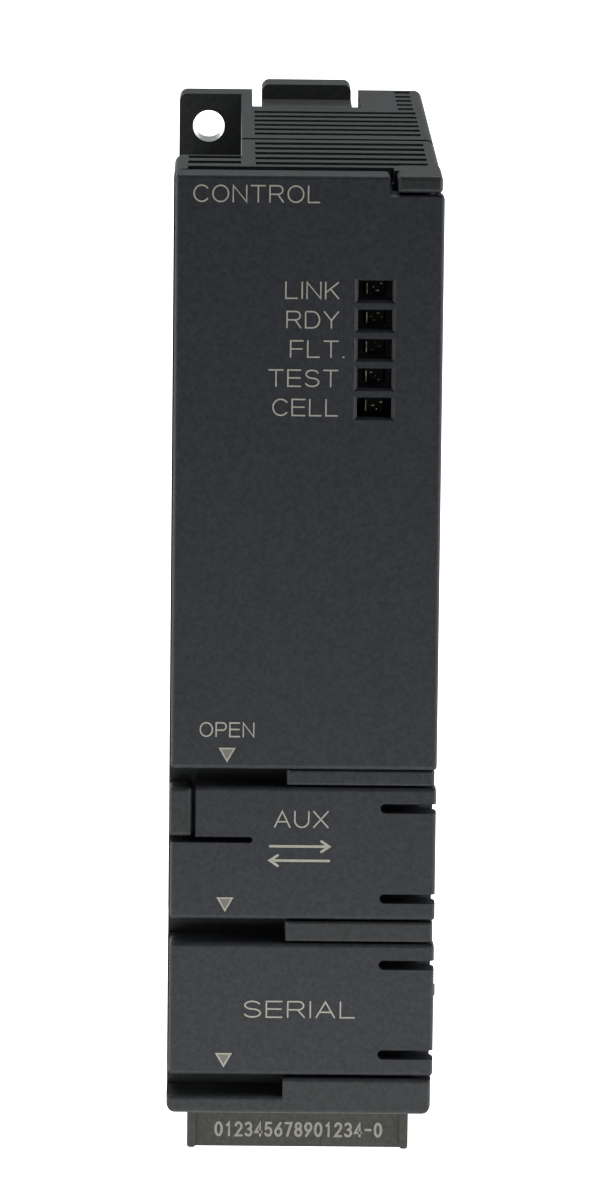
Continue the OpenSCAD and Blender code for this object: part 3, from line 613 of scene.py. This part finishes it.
def lamp_heights():
    """Heights of the lamp windows, from the light guide's plate."""
    low, high = in_mm("light_guide")
    top = high.z - GUIDE_RIM
    pitch = (top - low.z - GUIDE_RIM) / (len(LAMP_WORDS) - 1)
    return [top - i * pitch for i in range(len(LAMP_WORDS))]


def print_front_cover():
    """The title, a word beside each lamp window, and the word and arrow at the lower left."""
    low, high = in_mm("front_cover")
    face = low.y * MM
    bottom = high.z - TITLE_DROP - CAP_HEIGHT
    title = written("CONTROL", low.x + TITLE_INSET, bottom, CAP_HEIGHT, width=TITLE_WIDTH)
    printed("title_mark", "front_cover", ink, face, strokes=title)
    guide_low, guide_high = in_mm("light_guide")
    window_x = (guide_low.x + guide_high.x) / 2
    for word, z in zip(LAMP_WORDS, lamp_heights()):
        right = window_x - LABEL_TO_WINDOW
        left = right - text_width(word.rstrip("."), CAP_HEIGHT, LETTER_GAP)
        strokes = written(word, left, z - CAP_HEIGHT / 2, CAP_HEIGHT)
        printed(f"lamp_label_{word.strip('.').lower()}", "front_cover", ink, face,
                strokes=strokes)
    edge = low.z + FRONT_PIN
    opener = written("OPEN", low.x + OPENER_INSET, edge + OPENER_RISE, OPENER_HEIGHT, width=OPENER_WIDTH)
    printed("open_mark", "front_cover", ink, face, strokes=opener)
    across, up = FRONT_ARROW
    print_arrow("front_arrow", "front_cover", low.x + across, edge + up, face)


def data_icon(z):
    """A plain two-way arrow for the data port, whose middle is at height z."""
    length, half = ICON_BARB
    rows = []
    for side in (1, -1):
        level = z + side * ICON_SPREAD
        tip = (ICON_X + side * ICON_REACH, level)
        rows.append([(ICON_X - side * ICON_REACH, level), tip])
        rows.append([(tip[0] - side * length, level + half), tip, (tip[0] - side * length, level - half)])
    return rows


def print_port_covers():
    """A word and an arrow on each port cover, and the two-way arrow on the upper one."""
    for node, (word, width, rise) in PORT_WORDS.items():
        low, high = in_mm(node)
        face = low.y * MM
        middle = (low.z + high.z) / 2
        strokes = written(word, -width / 2, middle + rise - CAP_HEIGHT / 2, CAP_HEIGHT, width=width)
        printed(f"{word.lower()}_mark", node, ink, face, strokes=strokes)
        print_arrow(f"{word.lower()}_arrow", node, low.x + PORT_ARROW_INSET, middle - PORT_ARROW_DROP, face)
        if node == "data_port_cover":
            printed("data_icon", node, ink, face, strokes=data_icon(middle),
                    stroke=ICON_STROKE)


def print_number_tab():
    """A row of figures on the tab's plate."""
    low, high = in_mm("number_tab")
    plate = (low.y + TAB_RIM) * MM
    across, up = DIGITS_PLACE
    digits = written(DIGITS, low.x + across, low.z + up, DIGIT_HEIGHT, width=DIGITS_WIDTH, gap=DIGIT_GAP)
    printed("tab_number", "root", faded_ink, plate, strokes=digits, stroke=DIGIT_STROKE)


def framed(x, z):
    """The four sides of a rectangle as one closed stroke."""
    return [(x[0], z[0]), (x[1], z[0]), (x[1], z[1]), (x[0], z[1]), "closed"]


def print_rating_label():
    """A blank data plate on the right side: a border, a ruled table and an empty code panel."""
    low, high = in_mm("rating_label")
    across = (low.y + LABEL_MARGIN, high.y - LABEL_MARGIN)
    up = (low.z + LABEL_MARGIN, high.z - LABEL_MARGIN)
    rows = [up[1] - TABLE_DROP - i * ROW_HEIGHT for i in range(TABLE_ROWS + 1)]
    column = across[0] + FIRST_COLUMN
    near, far = CODE_PANEL
    rules = [framed(across, up)]
    rules += [[(across[0], z), (across[1], z)] for z in rows]
    rules.append([(column, rows[0]), (column, rows[-1])])
    rules.append(framed((across[1] - far, across[1] - near), (up[0] + near, up[0] + far)))
    band = framed([across[0] + reach for reach in BAND_ACROSS], [up[1] - drop for drop in BAND_DROP])
    corners = band[:-1]
    printed("label_rules", "root", shaded_ink, high.x * MM, strokes=rules, patches=[corners],
            side=True)


# ---- Lamps -----------------------------------------------------------------------------------------


def add_pyramid(mesh, x, y, z, half_x, half_z, rise):
    """A small closed pyramid that points to the front."""
    corners = ((-half_x, -half_z), (half_x, -half_z), (half_x, half_z), (-half_x, half_z))
    base = [mesh.verts.new((x + across, y, z + up)) for across, up in corners]
    tip = mesh.verts.new((x, y - rise, z))
    mesh.faces.new(base)
    for i in range(4):
        mesh.faces.new((base[i], base[(i + 1) % 4], tip))


def add_lamp_glints():
    """Painted glints on each light guide: its lit left edge, and bright facets on its moulded end."""
    low, high = in_mm("light_guide")
    middle = (low.x + high.x) / 2
    face = low.y + GLINT_SINK
    for lamp, z in enumerate(lamp_heights()):
        mesh = bmesh.new()
        add_pyramid(mesh, middle - EDGE_SHIFT, face, z, *EDGE_GLINT)
        for i in range(FLECKS):
            across = ((lamp * FLECKS + i) * GOLDEN) % 1
            up = ((lamp * FLECKS + i) * GOLDEN * STEPS_UP) % 1
            size = FLECK_SIZE[0] + FLECK_SIZE[1] * ((across + up) % 1) ** 2
            place = (middle + FLECK_START[0] + FLECK_SPREAD[0] * across, face,
                     z + FLECK_START[1] + FLECK_SPREAD[1] * up)
            add_pyramid(mesh, *place, size, size, size)
        bmesh.ops.recalc_face_normals(mesh, faces=mesh.faces)
        mesh.transform(Matrix.Diagonal((MM, MM, MM, 1)))
        add_piece(f"lamp_glint_{lamp + 1}", mesh, "root", glint_paint)


# ---- Studio ----------------------------------------------------------------------------------------
# Lengths from here on are in metres.

CAMERA_PLACE = (-0.0082, -0.8235, 0.1290)
CAMERA_TURN = (-9.567, -0.649, -0.6386)       # pitch, turn and roll, in degrees
LENS = 218
SENSOR = 36
FARTHEST = 20                                 # the camera sees nothing beyond this
FLOOR_REACH = 40                              # from the module to each side
FLOOR_DROP = 0.0002                           # the floor lies this far below the module
FLOOR_GLOW = 1.9                              # it is a light table
FRONT_GLOW = 0.15                             # but dim towards the viewer
GLOW_EDGE = (-0.36, -0.10)                    # where it dims, along Y
WORLD_GLOW = 0.04
FRONT = (0, -0.09, 0)                         # middle of the module's front


def add_camera():
    """A long lens in front of the module, a little above it and tilted slightly."""
    pitch, turned, roll = (math.radians(angle) for angle in CAMERA_TURN)
    held = (Matrix.Rotation(turned, 3, "Z") @ Matrix.Rotation(pitch, 3, "X")
            @ Matrix.Rotation(roll, 3, "Y") @ Matrix.Rotation(math.pi / 2, 3, "X"))
    data = bpy.data.cameras.new("camera")
    data.lens = LENS
    data.sensor_width = SENSOR
    data.clip_end = FARTHEST
    camera = bpy.data.objects.new("camera", data)
    camera.matrix_world = Matrix.Translation(CAMERA_PLACE) @ held.to_4x4()
    bpy.context.scene.collection.objects.link(camera)
    bpy.context.scene.camera = camera


def add_soft_light(name, place, target, size, power, colour=(1, 1, 1)):
    """A soft box, wide and high as size says, that faces the target."""
    data = bpy.data.lights.new(name, "AREA")
    data.shape = "RECTANGLE"
    data.size, data.size_y = size
    data.energy = power
    data.color = colour
    light = bpy.data.objects.new(name, data)
    light.visible_camera = False
    aim = (Vector(target) - Vector(place)).to_track_quat("-Z", "Y")
    light.matrix_world = Matrix.Translation(place) @ aim.to_matrix().to_4x4()
    bpy.context.scene.collection.objects.link(light)


def add_floor():
    """A wide light table under the module, which dims towards the viewer."""
    mesh = bmesh.new()
    bmesh.ops.create_grid(mesh, x_segments=8, y_segments=8, size=FLOOR_REACH)
    data = bpy.data.meshes.new("floor")
    mesh.to_mesh(data)
    mesh.free()
    paint = Paint("floor_paper", roughness=0.9, specular=0.1)
    paint.shader.inputs["Emission Color"].default_value = (1, 1, 1, 1)
    depth = paint.tree.nodes.new("ShaderNodeSeparateXYZ")
    paint.link(paint.place, depth.inputs["Vector"])
    glow = paint.values(depth.outputs["Y"], FRONT_GLOW, FLOOR_GLOW, *GLOW_EDGE)
    paint.link(glow, paint.shader.inputs["Emission Strength"])
    paint.colour(paint.ramp(paint.noise(60), (0.3, 0.3, 0.3), (0.34, 0.34, 0.34), 0.3, 0.7))
    data.materials.append(paint.material)
    floor = bpy.data.objects.new("floor", data)
    floor.location = (0, 0, cad_box[0].z - FLOOR_DROP)
    bpy.context.scene.collection.objects.link(floor)


def light_studio():
    """A faint even light, soft boxes round the module, and plain picture tones."""
    world = bpy.data.worlds.new("studio")
    world.use_nodes = True
    background = world.node_tree.nodes["Background"]
    background.inputs["Color"].default_value = (1, 1, 1, 1)
    background.inputs["Strength"].default_value = WORLD_GLOW
    bpy.context.scene.world = world
    add_soft_light("overhead", (-0.1, 0.35, 1.1), (0, 0, 0), (0.8, 0.8), 8)
    add_soft_light("backdrop", (0, 1.8, 0.3), (0, 0, 0), (3, 0.7), 3.4, (0.9, 0.99, 1))
    add_soft_light("upper_right", (0.6, -0.5, 0.8), FRONT, (0.4, 0.4), 2.5)
    add_soft_light("right_side", (0.6, -0.16, 0.05), FRONT, (0.3, 0.5), 3.5)
    add_soft_light("left_side", (-0.6, -0.16, 0.05), FRONT, (0.3, 0.5), 2.5)
    add_soft_light("low_front", (0, -0.165, -0.053), (0, -0.09, -0.03), (0.14, 0.03), 0.02)
    bpy.context.scene.view_settings.view_transform = "Standard"


# ---- Assembly --------------------------------------------------------------------------------------

add_camera()
dress_frame()
print_front_cover()
print_port_covers()
print_number_tab()
print_rating_label()
add_lamp_glints()
add_floor()
light_studio()
